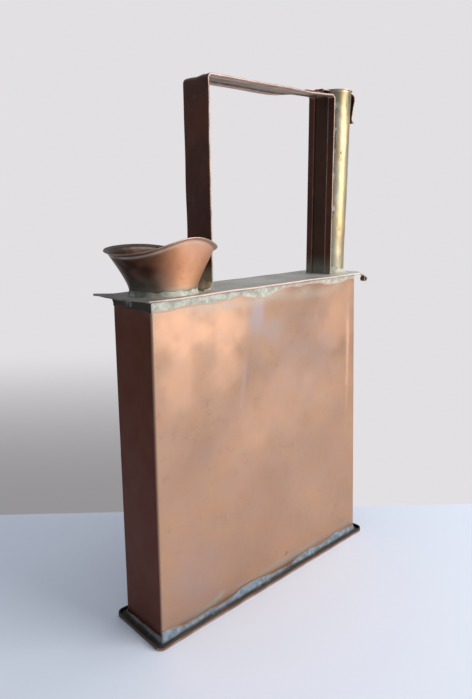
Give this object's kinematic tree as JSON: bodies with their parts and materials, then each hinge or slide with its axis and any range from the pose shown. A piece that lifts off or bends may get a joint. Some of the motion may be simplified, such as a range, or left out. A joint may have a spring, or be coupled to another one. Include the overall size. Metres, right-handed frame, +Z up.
{
  "type": "hot water can",
  "caption": "Flat upright copper can with a flared filler cup, a strap handle and a brass pouring tube that a small hinged beak lid closes.",
  "frame": {"origin": "centre of the body's footprint on the underside of the base tray", "axes": "+Z up, +X along the can's length towards the pouring tube, -Y towards the broad front"},
  "size_m": [0.3314, 0.0926, 0.5415],
  "materials": {
    "copper_body": "worn, lightly polished copper sheet, pinkish brown",
    "copper_cup": "worn copper sheet, orange brown",
    "copper_plate": "dull copper sheet, tarnished grey green",
    "copper_dark": "dark oxidised copper with bright worn edges",
    "brass_tube": "drawn brass tube, polished along one side and tarnished at its ends",
    "solder": "old soft solder with pale green verdigris"
  },
  "bodies": {
    "root": {"body_wrap": "copper_body", "back_panel": "copper_body", "back_seam_solder": "solder", "base_tray": "copper_dark", "base_solder": "solder", "top_plate": "copper_plate", "edge_wire": "copper_dark", "top_solder": "solder", "filler_cup": "copper_cup", "filler_solder": "solder", "handle_strap": "copper_dark", "left_foot_solder": "solder", "spout_tube": "brass_tube", "tube_foot_solder": "solder", "tube_seam_solder": "solder", "hinge_leaf": "copper_dark", "leaf_solder": "solder", "hinge_pin": "copper_dark"},
    "lid": {"spout_lid": "copper_dark"}
  },
  "joints": [
    {"name": "lid_hinge", "type": "hinge", "parent": "root", "child": "lid", "pos_m": [0.11135, 0, 0.53815], "axis": [0, -1, 0], "range_deg": [0, 100]}
  ]
}
